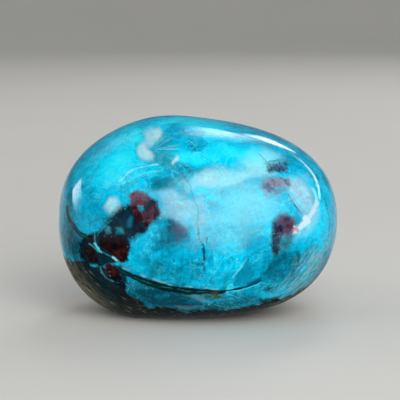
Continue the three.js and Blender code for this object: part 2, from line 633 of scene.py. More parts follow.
SPLINTERS = [
    Shard("fibrous bed", [(-6.0, 22.8), (-4.0, 23.0), (-2.4, 22.2), (-2.7, 21.2), (-4.8, 21.2),
        (-6.1, 21.9)], 0.50, 1.1, "sage", "reed", 0.75),
    Shard("upper splinter's shade", [(-7.4, 25.0), (-5.4, 25.9), (-4.3, 25.2), (-5.7, 23.2),
        (-6.9, 23.2)], 0.60, 0.8, "teal", "deep", 0.60),
    Shard("lower splinter's shade", [(-8.0, 23.8), (-7.6, 22.2), (-5.8, 21.8), (-5.6, 23.2),
        (-6.8, 24.2)], 0.60, 0.8, "teal", "deep", 0.60),
    Shard("upper splinter", [(-7.0, 25.1), (-6.2, 25.6), (-5.1, 25.7), (-4.6, 25.2), (-5.4, 24.1),
        (-6.0, 23.4), (-6.6, 23.7), (-7.0, 24.4)], 0.36, 0.5, "milk", "quartz", 0.70),
    Shard("splinter's bright side", [(-6.0, 25.4), (-5.1, 25.6), (-4.7, 25.2), (-5.4, 24.3)],
        0.34, 0.5, "milk", "quartz", 0.86),
    Shard("lower splinter", [(-7.7, 23.8), (-7.1, 24.1), (-6.5, 23.4), (-5.8, 22.5), (-5.8, 22.0),
        (-6.6, 22.0), (-7.4, 22.4), (-7.8, 23.2)], 0.36, 0.5, "milk", "quartz", 0.80),
    Shard("splinter tip", [(-3.4, 21.9), (-2.7, 22.6), (-2.3, 22.3), (-3.1, 21.6)],
        0.22, 0.5, "quartz", "milk", 0.80),
]

# Threads that run through (x, z) points. Width is half the line's own, in millimetres, soft is
# its edge, and broken is how much of it thins away. An open line is a groove in the skin too.
Line = namedtuple("Line", "name points width soft hue cover broken open side", defaults=[False, "front"])

LINES = [
    Line("net vein", [(-13.4, 12.7), (-13.4, 12.0), (-13.2, 11.1)], 0.06, 0.12, "sage", 0.85, 0.4),
    Line("net knot", [(-13.25, 11.1), (-12.85, 10.4), (-12.5, 10.15)], 0.16, 0.14, "sky", 0.85, 0.3),
    Line("net run", [(-12.6, 10.3), (-12.0, 10.0), (-11.1, 9.4), (-10.5, 9.1), (-9.4, 8.3), (-8.7, 8.5)],
        0.10, 0.14, "sage", 0.88, 0.5),
    Line("net blob", [(-11.0, 9.4), (-10.6, 9.15)], 0.12, 0.14, "milk", 0.85, 0.2),
    Line("net branch", [(-14.2, 10.9), (-13.5, 10.6), (-13.0, 10.2)], 0.09, 0.12, "sage", 0.85, 0.4),
    Line("net hair", [(-11.4, 14.5), (-13.0, 12.2)], 0.04, 0.10, "sage", 0.60, 0.5),
    Line("low vein", [(-12.8, 8.1), (-12.6, 7.3), (-12.0, 6.6), (-10.9, 6.1)],
        0.16, 0.12, "sage", 0.85, 0.5),
    Line("upper left vein", [(-10.2, 19.4), (-8.4, 20.8), (-7.3, 21.3), (-5.3, 21.5)],
        0.055, 0.12, "milk", 0.70, 0.75),
    Line("second upper left vein", [(-10.4, 19.0), (-8.8, 19.6), (-7.4, 20.4), (-5.2, 20.7)],
        0.05, 0.14, "sky", 0.50, 0.85),
    Line("right thin fissure", [(3.6, 5.1), (5.6, 5.3), (6.8, 5.8), (8.1, 6.6)],
        0.12, 0.10, "ink", 0.95, 0.25, open=True),
    Line("right fissure's lip", [(3.8, 4.95), (5.7, 5.1), (6.9, 5.6), (8.2, 6.35)],
        0.04, 0.08, "sky", 0.55, 0.6),
    Line("right fissure's wedge", [(6.6, 6.0), (8.0, 6.9)], 0.18, 0.22, "abyss", 0.85, 0.3),
    Line("wedge left", [(3.7, 7.4), (3.4, 5.6)], 0.22, 0.40, "teal", 0.55, 0.3),
    Line("facet's pale edge", [(6.2, 9.4), (4.5, 7.0)], 0.08, 0.18, "sky", 0.55, 0.5),
    Line("crack by the cloud", [(11.7, 17.6), (12.3, 16.6), (13.0, 15.8), (13.5, 15.1)],
        0.08, 0.12, "plum", 0.80, 0.5),
    Line("crack's cloud", [(11.3, 21.9), (9.0, 21.6), (8.2, 22.5)], 0.06, 0.16, "navy", 0.40, 0.6),
    # The hook is partly a quartz vein and partly a painted highlight, where a bright reflection bends
    # back along the right shoulder.
    Line("white hook", [(15.5, 16.1), (15.2, 15.3), (14.7, 14.7), (14.1, 14.3)],
        0.34, 0.50, "quartz", 0.84, 0.35),
    Line("white hook's tip", [(15.1, 17.9), (15.5, 17.0), (15.5, 16.1)], 0.14, 0.30, "milk", 0.80, 0.5),
    Line("white hook's foot", [(14.1, 14.1), (13.2, 13.3)], 0.46, 0.36, "quartz", 0.90, 0.3),
    Line("dotted vein above", [(-1.9, 20.6), (-0.7, 18.4), (0.1, 16.5), (0.2, 12.9)],
        0.04, 0.22, "navy", 0.34, 0.9),
    Line("dotted vein", [(0.1, 12.8), (0.2, 11.9), (0.8, 11.2), (0.9, 9.6)],
        0.09, 0.18, "navy", 0.70, 0.95),
    Line("dotted vein's knot", [(0.7, 10.8), (1.0, 9.7)], 0.12, 0.22, "navy", 0.66, 0.7),
    Line("dotted vein's foot", [(0.2, 8.9), (0.9, 9.0), (1.0, 8.1)], 0.18, 0.26, "navy", 0.60, 0.6),
    Line("side dot", [(1.1, 12.4), (1.1, 11.8)], 0.10, 0.10, "navy", 0.70, 0.3),
    Line("teal diagonal", [(11.0, 9.6), (9.8, 8.7), (8.9, 7.6)], 0.35, 0.45, "abyss", 0.70, 0.3),
    Line("short green streak", [(13.0, 10.0), (13.0, 8.2)], 0.20, 0.34, "moss", 0.65, 0.5),
    Line("left upright streak", [(-4.6, 11.0), (-4.6, 8.2)], 0.07, 0.20, "deep", 0.55, 0.6),
    Line("second upright streak", [(-3.7, 9.0), (-3.9, 7.0)], 0.07, 0.20, "deep", 0.60, 0.5),
    Line("back fissure", [(-13.0, 8.4), (-10.6, 9.7), (-8.0, 9.9), (-4.6, 9.0), (-1.0, 8.8), (2.6, 9.7),
        (6.0, 11.5), (9.0, 12.6), (12.5, 15.2)],
        0.16, 0.12, "pitch", 0.95, 0.25, open=True, side="back"),
    Line("back fissure's fill", [(-8.0, 9.6), (-4.6, 8.8), (-1.0, 8.6), (2.6, 9.4), (6.0, 11.2)],
        0.16, 0.16, "moss", 0.80, 0.4, side="back"),
    Line("back fissure's lip", [(-12.0, 9.4), (-8.0, 10.3), (-4.6, 9.4), (-1.0, 9.2), (2.6, 10.1),
        (6.0, 11.9), (9.0, 13.0)], 0.06, 0.12, "sky", 0.60, 0.7, side="back"),
    Line("back branch", [(-1.0, 9.0), (1.8, 6.6), (3.2, 4.0)],
        0.10, 0.12, "pitch", 0.90, 0.4, open=True, side="back"),
    Line("back vein", [(-11.0, 16.6), (-8.6, 18.4), (-5.4, 18.9), (-2.4, 18.0), (0.6, 18.5),
        (3.4, 20.2), (7.0, 20.8)], 0.06, 0.16, "milk", 0.50, 0.75, side="back"),
    Line("second back vein", [(-4.0, 23.0), (-2.6, 19.0), (-3.4, 15.0), (-1.6, 11.4)],
        0.06, 0.14, "navy", 0.70, 0.8, side="back"),
    Line("right end crack", [(16.6, 16.8), (17.4, 14.0), (17.2, 11.0)], 0.05, 0.12, "abyss", 0.70, 0.6),
    Line("low diagonal", [(2.2, 3.4), (0.4, 1.6)], 0.08, 0.16, "abyss", 0.60, 0.4),
]

# The long fissure hangs like a shallow bowl, lowest near its right end. Low is the height of its
# upper lip at the middle x, lift is how fast it curves up from there, and gape is its width.
FISSURE_LOW = 5.15
FISSURE_MIDDLE = 2.6
FISSURE_LIFT = 0.0185
FISSURE_LEFT = -9.8
FISSURE_RIGHT = 3.5
FISSURE_GAPE = 0.78

# The top of the matrix as (x, z) from the left end to the right, on either side. Along the front
# of the belly this band is partly painted contact shade, where the stone meets the floor.
MATRIX_AND_SHADE_FRONT = [
    (-16.6, 7.8), (-14.8, 8.5), (-13.0, 8.7), (-11.0, 8.3), (-10.0, 7.4), (-9.5, 5.6), (-8.6, 4.0),
    (-7.0, 2.8), (-4.3, 2.2), (0.0, 1.9), (5.0, 1.6), (8.0, 2.8), (12.0, 3.9), (15.0, 4.4), (18.0, 5.0),
]
MATRIX_BACK = [(-16.0, 8.5), (-9.0, 3.0), (-2.0, 2.2), (4.0, 4.6), (9.0, 7.4), (13.0, 6.0), (18.0, 5.0)]

# Two ellipses at the lower right, where pale strands and their sandy rim show.
Spot = namedtuple("Spot", "name x z wide high tilt")
STRANDS = Spot("strands", 13.4, 6.2, 7.0, 2.6, 48)
RIM = Spot("rim", 15.6, 6.0, 6.0, 2.2, 58)

# Where the fibres fan out from.
FIBRE_ROOT = (-5.9, 23.3)

# The way of the dark crease that comes round the left end.
LEFT_FISSURE = [(-17.3, 15.4), (-17.1, 14.2), (-16.2, 12.9), (-15.4, 12.2), (-14.4, 11.9)]


def how_far_out(points, mark, skin):
    """How far out the points lie in a soft mark: 0 at its middle and 1 on its edge."""
    across, deep, up = (points - np.array(skin.find(mark.x, mark.z))).T
    turn = math.radians(mark.tilt)
    along = (across * math.cos(turn) + up * math.sin(turn)) / mark.wide
    aside = (up * math.cos(turn) - across * math.sin(turn)) / mark.high
    inwards = deep / (max(mark.wide, mark.high) + MARK_DEPTH)
    return np.sqrt(along**2 + aside**2 + inwards**2)


def smooth(values, start, end):
    share = np.clip((values - start) / (end - start), 0.0, 1.0)
    return share * share * (3.0 - 2.0 * share)


def wandered(points, size, reach):
    """The points moved about by smooth noise, which makes crooked outlines."""
    noise.seed_set(WANDER_SEED)
    moves = [noise.noise_vector(Vector(point) / size) for point in points]
    return points + reach * np.array(moves)


def carry(mesh, name, values):
    attribute = mesh.attributes.new(name, "FLOAT", "POINT")
    attribute.data.foreach_set("value", values.astype(np.float32))


def outside(points, corners):
    """Distance in millimetres outside a convex outline in x and z, and negative inside it."""
    middle = np.mean(corners, axis=0)
    found = np.full(len(points), -np.inf)
    for start, end in zip(corners, corners[1:] + corners[:1]):
        across = np.array([end[1] - start[1], start[0] - end[0]])
        across /= np.linalg.norm(across)
        if across @ (middle - start) > 0:
            across = -across
        found = np.maximum(found, (points[:, [0, 2]] - start) @ across)
    return found


def beside(points, path):
    """Where the points lie along a path on the skin, in millimetres.

    Gives how far they are to one side of it (under 0 on the other), and how far they are
    inside its two ends (under 0 past them, or deep in the stone).
    """
    path = np.array([tuple(place) for place in path])
    runs = path[1:] - path[:-1]
    lengths = np.linalg.norm(runs, axis=1)
    before = np.concatenate([[0.0], np.cumsum(lengths)])
    best = np.full(len(points), np.inf)
    aside = np.zeros(len(points))
    along = np.zeros(len(points))
    for index, (start, run, length) in enumerate(zip(path, runs, lengths)):
        out = points - start
        share = out @ run / length**2
        gap = np.linalg.norm(out - np.clip(share, 0.0, 1.0)[:, None] * run, axis=1)
        across = np.cross(start - STONE_MIDDLE, run)
        side = out @ across / np.linalg.norm(across)
        nearer = gap < best
        least = -np.inf if index == 0 else 0.0
        most = np.inf if index == len(runs) - 1 else 1.0
        held = np.clip(share, least, most)
        side = np.where(held == share, side, np.copysign(gap, side))
        best[nearer] = gap[nearer]
        aside[nearer] = side[nearer]
        along[nearer] = (before[index] + held * length)[nearer]
    inside = np.minimum(along, before[-1] - along)
    return aside, np.minimum(inside, PATH_REACH - best)


def veils_by_look():
    """The veils by the two colours that they mix."""
    groups = {}
    for veil in VEILS:
        groups.setdefault((veil.dark, veil.light), []).append(veil)
    return groups


def by_style(shards):
    """The shards in order, with neighbours in the list that look alike put together."""
    groups = []
    for shard in shards:
        style = shard[2:]
        if groups and groups[-1][0] == style:
            groups[-1][1].append(shard)
        else:
            groups.append((style, [shard]))
    return [alike for _, alike in groups]


def above_matrix_and_shade(points):
    """How high the points lie above the top of the dark matrix and its painted contact shade, in
    millimetres.
    """
    across, deep, up = points.T
    front = np.interp(across, *zip(*MATRIX_AND_SHADE_FRONT))
    back = np.interp(across, *zip(*MATRIX_BACK))
    share = smooth(deep, -7.0, 6.0)
    return up - front * (1.0 - share) - back * share


def places_of(mesh):
    """The places of a mesh's points, in millimetres."""
    places = np.empty(3 * len(mesh.vertices))
    mesh.vertices.foreach_get("co", places)
    return places.reshape(-1, 3) / MM


def crooked_places(places):
    return wandered(wandered(places, 2.0, 0.25), 0.7, 0.08)


def fissure_gap(across):
    """How wide the long fissure gapes at each x, in millimetres. It closes towards both ends."""
    left = 0.28 * smooth(across, -6.5, FISSURE_LEFT)
    right = 0.50 * smooth(across, -3.0, FISSURE_RIGHT)
    return FISSURE_GAPE - left - right


def in_fissure(places):
    """How deep in the long fissure the points lie, from 0 on its lips to 1."""
    across, deep, up = places.T
    gap = fissure_gap(across)
    below = FISSURE_LOW + FISSURE_LIFT * (across - FISSURE_MIDDLE) ** 2 - up
    inside = smooth(np.abs(below - gap / 2), gap / 2 + 0.16, 0.0)
    ends = smooth(across, FISSURE_LEFT - 0.5, FISSURE_LEFT + 1.0)
    ends = ends * smooth(across, FISSURE_RIGHT + 0.5, FISSURE_RIGHT - 0.5)
    return inside * ends * smooth(deep, -1.0, -4.0)


def out_of(shards, places, true):
    """How far the places lie outside the nearest shard, as none shows on the back."""
    out = np.min([outside(places, shard.corners) for shard in shards], axis=0)
    return np.minimum(out + FAR_OUT * (true[:, 1] > 0), FAR_OUT)


def carve(mesh, skin, shape):
    """Sinks the open fissures, the softer dark mineral and a slight swell into the skin."""
    true = places_of(mesh)
    places = crooked_places(true)
    depth = shape.groove * in_fissure(places)
    cracks = [skin.trace(line.points, line.side) for line in LINES if line.open]
    for path in (skin.trace(LEFT_FISSURE), *cracks):
        aside, inside = beside(places, path)
        across = smooth(np.abs(aside), 0.34, 0.05)
        depth += THIN_GROOVE * shape.groove * across * smooth(inside, -0.2, 0.4)
    depth += shape.hollow * smooth(out_of(BLOCKS, places, true), 0.1, -0.4)
    swell = np.array([noise.noise(Vector(place) / SWELL_SIZE) for place in true])
    depth += shape.swell * (0.5 + 0.5 * swell)
    normals = np.empty(3 * len(mesh.vertices))
    mesh.vertices.foreach_get("normal", normals)
    sunk = true - normals.reshape(-1, 3) * depth[:, None]
    mesh.vertices.foreach_set("co", (sunk * MM).ravel())
    mesh.update()


def carry_marks(mesh, skin):
    """Works out the marks at every point of the mesh, for the material to read."""
    true = places_of(mesh)
    points = wandered(true, 3.0, 0.9)
    lift = np.zeros(len(points))
    for patch in TONES:
        lift += patch.lift * smooth(how_far_out(points, patch, skin), 1.25, 0.2)
    carry(mesh, "lift", lift)
    for (dark, light), veils in veils_by_look().items():
        out = np.array([how_far_out(points, veil, skin) for veil in veils])
        # Where veils overlap, the one whose middle is nearer decides how much is hidden.
        weight = np.exp(-4.0 * out) + 1e-9
        covers = np.array([[veil.cover] for veil in veils])
        cover = (weight * covers).sum(axis=0) / weight.sum(axis=0)
        carry(mesh, f"{dark} over {light} out", np.minimum(out.min(axis=0), FAR_OUT))
        carry(mesh, f"{dark} over {light} cover", cover)
    crooked = crooked_places(true)
    for shards in by_style(BLOCKS + WINDOWS + SPLINTERS):
        carry(mesh, f"{shards[0].name} out", out_of(shards, crooked, true))
    carry(mesh, "block out", out_of(BLOCKS, crooked, true))
    carry(mesh, "gap", fissure_gap(crooked[:, 0]))
    carry(mesh, "x", crooked[:, 0])
    carry(mesh, "z", crooked[:, 2])
    carry(mesh, "behind", smooth(true[:, 1], 1.0, 5.0))
    ends = smooth(points[:, 1], -10.0, -4.0) * smooth(points[:, 1], 8.0, 1.0)
    carry(mesh, "rind", ends * smooth(true[:, 2], 0.8, 2.4))
    carry(mesh, "front", smooth(true[:, 1], -1.0, -4.0))
    carry(mesh, "matrix", above_matrix_and_shade(points))
    for mark in (STRANDS, RIM):
        carry(mesh, f"{mark.name} out", how_far_out(points, mark, skin))
    from_root = true - np.array(skin.find(*FIBRE_ROOT))
    carry(mesh, "fibre angle", np.arctan2(from_root[:, 2], from_root[:, 0]))
    carry(mesh, "fibre reach", np.linalg.norm(from_root, axis=1))
    paths = {"left fissure": skin.trace(LEFT_FISSURE)}
    paths.update({line.name: skin.trace(line.points, line.side) for line in LINES})
    for name, path in paths.items():
        aside, inside = beside(crooked, path)
        carry(mesh, f"{name} aside", aside)
        carry(mesh, f"{name} inside", inside)


def paint_veils(graph, colour, fields, palette):
    for dark, light in veils_by_look():
        out = graph.carried(f"{dark} over {light} out")
        out = out + (fields["middle"] - 0.5) * 1.5 + (fields["fine"] - 0.5) * 0.5
        share = graph.step(out, 1.5, 0.35) * graph.carried(f"{dark} over {light} cover")
        share = share * graph.step(fields["flaky"], 0.34, 0.60, 0.80, 1.04)
        speckle = graph.step(fields["grain"], 0.40, 0.62)
        own = graph.mix(speckle, getattr(palette, dark), getattr(palette, light))
        colour = graph.mix(share, colour, own)
    return colour


def finish_shard(graph, nudge, colour, out, middle, fine, grain, wild, soft, cover, dark, light):
    out = out + (middle + nudge - 0.5) * wild + (fine + nudge - 0.5) * (wild * 0.8)
    share = graph.step(out, soft, soft * -1.0, 0.0, cover)
    own = graph.mix(graph.step(grain + nudge, 0.44, 0.60), dark, light)
    return graph.mix(share, colour, own)


def paint_shards(graph, colour, fields, shards, palette):
    for alike in by_style(shards):
        shard = alike[0]
        inputs = {
            "middle": fields["middle"],
            "fine": fields["fine"],
            "grain": fields["grain"],
            "nudge": graph.nudge(),
            "colour": colour,
            "out": graph.carried(f"{shard.name} out"),
            "wild": shard.wild,
            "soft": shard.soft,
            "cover": shard.cover,
            "dark": getattr(palette, shard.dark),
            "light": getattr(palette, shard.light),
        }
        colour = graph.shared("shard", finish_shard, **inputs)
    return colour


def paint_blocks(graph, colour, fields, palette):
    return paint_shards(graph, colour, fields, BLOCKS + WINDOWS, palette)


def paint_splinters(graph, colour, fields, palette):
    return paint_shards(graph, colour, fields, SPLINTERS, palette)


def finish_line(graph, nudge, colour, aside, inside, middle, fine, thin, thick, soft, cover, hue):
    near = graph.most(graph.far(aside + (fine + nudge - 0.5) * 0.16), inside * -1.0)
    width = graph.step(middle + nudge, 0.40, 0.62, thin, thick)
    share = graph.step(near - width, soft, soft * -0.3, 0.0, cover)
    return graph.mix(share, colour, hue)


def paint_lines(graph, colour, fields, palette):
    for line in LINES:
        inputs = {
            "nudge": graph.nudge(),
            "colour": colour,
            "aside": graph.carried(f"{line.name} aside"),
            "inside": graph.carried(f"{line.name} inside"),
            "middle": fields["middle"],
            "fine": fields["fine"],
            "thin": line.width * (1.0 - 2.0 * line.broken),
            "thick": line.width * 1.25,
            "soft": line.soft,
            "cover": line.cover,
            "hue": getattr(palette, line.hue),
        }
        colour = graph.shared("line", finish_line, **inputs)
    return colour


def paint_fissure(graph, colour, fields, palette):
    """The open double fissure, filled with malachite between two dark lips."""
    x, z = fields["x"], fields["z"]
    bend = x - FISSURE_MIDDLE
    below = FISSURE_LOW + bend * bend * FISSURE_LIFT - z + (fields["fine"] - 0.5) * 0.26
    gap = graph.carried("gap")
    run = graph.step(x, FISSURE_LEFT - 0.6, FISSURE_LEFT + 0.6)
    run = run * graph.step(x, FISSURE_RIGHT + 0.4, FISSURE_RIGHT) * fields["front"]
    shadow = graph.step(below, -0.9, -0.1) * graph.step(below, 1.7, 0.7) * run
    colour = graph.mix(shadow * 0.35, colour, palette.abyss)
    lip = graph.step(below, -0.60, -0.30) * graph.step(below, -0.10, -0.20) * fields["broken"]
    colour = graph.mix(lip * run * 0.45, colour, palette.milk)
    fill = graph.step(below, -0.08, 0.08) * graph.step(below - gap, 0.10, -0.10) * run
    filling = graph.mix(graph.step(fields["strand"], 0.40, 0.60), palette.moss, palette.pitch)
    colour = graph.mix(fill * 0.95, colour, filling)
    gleam = graph.step(graph.far(below - gap * 0.45), 0.12, 0.02) * fields["broken"] * run
    colour = graph.mix(gleam * 0.45, colour, palette.sage)
    upper = graph.step(graph.far(below - 0.04), 0.32, 0.08) * run
    lower = graph.step(graph.far(below - gap), 0.22, 0.04) * run
    colour = graph.mix(graph.most(upper, lower) * 0.90, colour, palette.pitch)
    iron = graph.step(x, 0.2, 1.4) * graph.step(below, 1.4, 0.9) * graph.step(below, -0.1, 0.1) * run
    return graph.mix(iron * graph.step(fields["middle"], 0.40, 0.54) * 0.85, colour, palette.olive)


def paint_left_fissure(graph, colour, fields, palette):
    """The dark green crease that comes round the left end into the cluster."""
    aside = graph.carried("left fissure aside") + (fields["fine"] - 0.5) * 0.2
    inside = graph.step(graph.carried("left fissure inside"), -0.2, 0.2)
    colour = graph.mix(graph.step(graph.far(aside), 0.36, 0.22) * inside * 0.85, colour, palette.moss)
    edge = graph.step(graph.far(graph.far(aside) - 0.26), 0.14, 0.03) * inside
    return graph.mix(edge * 0.85, colour, palette.pitch)


def paint_matrix_and_contact_shade(graph, colour, fields, palette):
    """The dark matrix along the belly, which climbs at the left end. Along the front of the belly it is
    partly painted contact shade, where the stone meets the floor.
    """
    stray = (fields["middle"] - 0.5) * 1.2 + (fields["strand low"] - 0.5) * 1.0
    share = graph.step(graph.carried("matrix") + stray, 0.35, -0.25, 0.0, 0.97)
    # This share covers the matrix and the painted contact shade along the belly.
    fields["stony"] = share
    own = graph.mix(graph.step(fields["strand low"], 0.40, 0.56), palette.soot, palette.bark)
    own = graph.mix(graph.step(fields["strand low"], 0.52, 0.66, 0.0, 0.8), own, palette.slate)
    own = graph.mix(graph.step(fields["strand low"], 0.60, 0.72, 0.0, 0.7), own, palette.sand)
    rind = graph.step(fields["strand low"] + fields["grain"] * 0.5, 0.55, 0.85, 0.08, 0.72)
    own = graph.mix(graph.carried("rind") * rind, own, palette.sand)
    own = graph.mix(graph.step(fields["patch"], 0.50, 0.66, 0.0, 0.6), own, palette.umber)
    own = graph.mix(graph.step(fields["grain"], 0.58, 0.72, 0.0, 0.3), own, palette.moss)
    return graph.mix(share, colour, own)


def paint_strands(graph, colour, fields, palette):
    """Pale strands that run up and out across the lower right."""
    share = graph.step(graph.carried("strands out") + (fields["middle"] - 0.5) * 1.0, 1.2, 0.3)
    pale = graph.step(fields["strand high"], 0.38, 0.68)
    colour = graph.mix(share * pale * 0.62, colour, palette.frost)
    rim = graph.step(graph.carried("rim out") + (fields["middle"] - 0.5) * 0.8, 1.4, 0.5)
    colour = graph.mix(rim * graph.step(fields["strand high"], 0.34, 0.58) * 0.46, colour, palette.sand)
    dark = graph.step(fields["strand high"], 0.46, 0.34)
    return graph.mix(share * dark * 0.45, colour, palette.teal)


def paint_fibres(graph, colour, fields, palette):
    """Fine fibres that fan out from the foot of the splinters."""
    angle = graph.carried("fibre angle")
    line = graph.ripple(angle * 9.0 + (fields["middle"] - 0.5) * 1.2, 2.0, 0.6)
    inside = graph.step(graph.carried("fibre reach") + (fields["middle"] - 0.5) * 2.0, 4.0, 2.4)
    inside = inside * graph.step(angle, -0.75, -0.45) * graph.step(angle, 1.35, 1.0)
    colour = graph.mix(inside * 0.40, colour, palette.reed)
    return graph.mix(inside * graph.step(line, 0.48, 0.66) * 0.50, colour, palette.milk)


def paint_behind(graph, colour, fields, palette):
    """Cuprite, milk and veins scattered over the sides that face away from the front."""
    behind = graph.carried("behind")
    cloud = graph.noise(fields["at"], 6.0, 3.0, 0.55, 1.2)
    colour = graph.mix(graph.step(cloud, 0.52, 0.66) * behind * 0.7, colour, palette.milk)
    seed = graph.noise(fields["at"], 5.2, 4.0, 0.55, 0.9) + (fields["grain"] - 0.5) * 0.06
    colour = graph.mix(graph.step(seed, 0.56, 0.63) * behind * 0.9, colour, palette.navy)
    own = graph.mix(graph.step(fields["grain"], 0.44, 0.60), palette.ink, palette.wine)
    own = graph.mix(graph.step(fields["patch"], 0.44, 0.56), own, palette.maroon)
    colour = graph.mix(graph.step(seed, 0.605, 0.635) * behind * 0.97, colour, own)
    healed = graph.step(graph.far(fields["broad"] - 0.44), 0.005, 0.002) * fields["broken"] * behind
    return graph.mix(healed * 0.5, colour, palette.milk)


def paint_specks(graph, colour, fields, palette):
    """Tiny pale grains, thicker in some places than in others."""
    near, own = graph.cells(fields["at"], 0.75)
    pick, size, _ = graph.parts(own)
    dot = graph.step(near - size * 0.14 + (fields["grain"] - 0.5) * 0.16, 0.10, 0.02)
    dot = dot * graph.step(pick + (fields["broad"] - 0.5) * 1.8, 0.90, 0.98)
    return graph.mix(dot * 0.55, colour, palette.milk)


def paint_fringe(graph, colour, fields, palette):
    """White grains sprinkled round the edges of the cuprite."""
    near, own = graph.cells(fields["at"], 0.30)
    pick, size, _ = graph.parts(own)
    edge = graph.step(graph.far(graph.carried("block out") + (fields["middle"] - 0.5) * 1.6), 0.9, 0.1)
    dot = graph.step(near, 0.42, 0.12)
    white = dot * graph.step(pick + (fields["grain"] - 0.5) * 0.9, 0.89, 0.96) * edge
    colour = graph.mix(white * 0.55, colour, palette.milk)
    dusk = dot * graph.step(size, 0.86, 0.90) * edge
    return graph.mix(dusk * 0.70, colour, palette.ink)


def body_colour(graph, fields, palette):
    """Chrysocolla itself: teal, cyan and blue that cloud into one another, lifted and deepened in
    patches, some of them partly painted light and shade.
    """
    tone = 0.45 + (fields["broad"] - 0.5) * 0.55 + (fields["middle"] - 0.5) * 0.50
    tone = tone + (fields["fine"] - 0.5) * 0.30 + (fields["strand"] - 0.5) * 0.30
    _, own = graph.cells(fields["at"], 1.9)
    pick, _, _ = graph.parts(own)
    tone = tone + (pick - 0.5) * graph.step(fields["patch"], 0.42, 0.62, 0.02, 0.20)
    tone = tone + (fields["upright"] - 0.5) * graph.step(fields["z"], 13.0, 9.0) * 0.42
    tone = tone + graph.carried("lift")
    stops = [
        (0.0, palette.abyss),
        (0.24, palette.teal),
        (0.44, palette.cyan),
        (0.66, palette.bright),
        (1.0, palette.fresh),
    ]
    return graph.ramp(tone, stops)


def paint_wisps(graph, colour, fields, palette):
    """Fine wisps, some pale and some dark, where the blue has set in skins."""
    wisp = graph.far(graph.noise(fields["at"], 2.6, 4.0, 0.62, 1.6) - 0.5)
    thin = graph.step(wisp, 0.030, 0.004)
    colour = graph.mix(thin * graph.step(fields["patch"], 0.47, 0.56) * 0.34, colour, palette.sky)
    colour = graph.mix(thin * graph.step(fields["patch"], 0.50, 0.42) * 0.34, colour, palette.abyss)
    flake = fields["flaky"]
    colour = graph.mix(graph.step(flake, 0.56, 0.62) * 0.16, colour, palette.fresh)
    return graph.mix(graph.step(flake, 0.43, 0.36) * 0.12, colour, palette.abyss)


def paint_hairlines(graph, colour, fields, palette):
    """Broken hair-thin cracks, some dark and some healed pale."""
    edge = graph.cells(fields["at"], 4.2, "DISTANCE_TO_EDGE")
    line = graph.step(edge + (fields["middle"] - 0.5) * 0.06, 0.016, 0.004) * fields["broken"]
    colour = graph.mix(line * graph.step(fields["patch"], 0.52, 0.60) * 0.45, colour, palette.sky)
    return graph.mix(line * graph.step(fields["patch"], 0.48, 0.40) * 0.22, colour, palette.abyss)


# Noises by their size in millimetres, detail, roughness and twist.
NOISES = {
    "broad": (7.0, 3.0, 0.55, 0.8),
    "patch": (5.5, 1.0),
    "middle": (1.6, 3.0, 0.6, 0.5),
    "fine": (0.45, 3.0, 0.6),
    "grain": (0.8, 4.0, 0.65, 0.3),
    "flaky": (1.1, 5.0, 0.7, 2.2),
    "breaks": (1.3, 1.0),
}

# Noises drawn out into strands, by the degrees they climb, how long they are and how thin.
STRANDED = {
    "strand": (8, 3.0, 0.5),
    "upright": (86, 2.4, 0.36),
    "strand low": (-42, 2.6, 0.40),
    "strand high": (44, 2.2, 0.34),
}


def stone_fields(graph):
    """The places and noises that every mark shares."""
    at = graph.place("Object")
    fields = {"at": at}
    fields.update({name: graph.carried(name) for name in ("x", "z", "front")})
    fields.update({name: graph.noise(at, *how) for name, how in NOISES.items()})
    fields.update({name: graph.strands(at, *how) for name, how in STRANDED.items()})
    fields["broken"] = graph.step(fields["breaks"], 0.44, 0.56)
    return fields


# From the lowest layer to the top one.
LAYERS = (
    paint_wisps,
    paint_hairlines,
    paint_veils,
    paint_strands,
    paint_behind,
    paint_specks,
    paint_matrix_and_contact_shade,
    paint_blocks,
    paint_left_fissure,
    paint_fissure,
    paint_fringe,
    paint_fibres,
    paint_splinters,
    paint_lines,
)


def new_material(name):
    """A material with a graph of its nodes and its shader."""
    material = bpy.data.materials.new(name)
    material.use_nodes = True
    return material, Graph(material.node_tree), material.node_tree.nodes["Principled BSDF"]


def stone_material(palette):
    material, graph, shader = new_material(FINISH_SLOT)
    fields = stone_fields(graph)
    colour = body_colour(graph, fields, palette)
    for paint in LAYERS:
        colour = paint(graph, colour, fields, palette)
    graph.feed(shader.inputs["Base Color"], colour)
    rough = graph.step(fields["grain"], 0.35, 0.70, 0.06, 0.11) + fields["stony"] * 0.12
    graph.feed(shader.inputs["Roughness"], rough)
    inputs = {"Strength": 0.10, "Distance": BUMP_HEIGHT * MM, "Height": fields["fine"]}
    bump = graph.node("ShaderNodeBump", inputs)
    graph.links.new(bump.outputs["Normal"], shader.inputs["Normal"])
    shader.inputs["IOR"].default_value = REFRACTION
    graph.feed(shader.inputs["Specular IOR Level"], 0.3 - fields["stony"] * 0.2)
    shader.inputs["Specular Tint"].default_value = GLOSS_TINT
    return material


# ----------------------------------------------------------------------------------------
# The studio.
# ----------------------------------------------------------------------------------------

# Turn is clockwise from straight behind the stone as seen from above, and climb is above the
# horizon, both in degrees from the stone. Wide and tall are in metres, and glow is radiance.
# Fades are the shares of the box over which its left, right, low and high sides dim.
Softbox = namedtuple("Softbox", "name turn climb reach wide tall roll glow fades")

